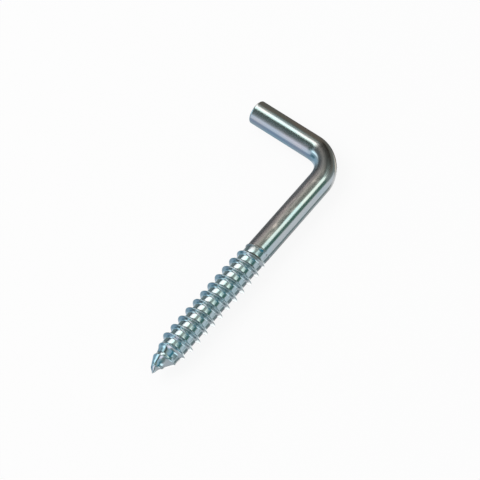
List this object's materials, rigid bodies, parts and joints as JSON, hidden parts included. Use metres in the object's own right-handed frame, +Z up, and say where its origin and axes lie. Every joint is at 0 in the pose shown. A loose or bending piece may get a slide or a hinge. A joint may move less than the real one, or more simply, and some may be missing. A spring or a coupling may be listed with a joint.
{
  "type": "screw hook",
  "caption": "Square-bend screw hook of bright zinc-plated round wire, with a right-hand wood thread and point on the shank and a short straight arm to hang things on.",
  "frame": {"origin": "under the middle of the hook as it lies, on the surface that it lies on", "axes": "+X along the shank from the point to the bend, +Y along the arm to its free end, +Z up and square to the plane of the bend"},
  "size_m": [0.05, 0.0198, 0.0053],
  "materials": {
    "zinc_plate": "bright zinc plate with a faint blue passivate, glossy, with fine drawing lines along the wire"
  },
  "bodies": {
    "root": {"screw_hook": "zinc_plate"}
  },
  "joints": []
}
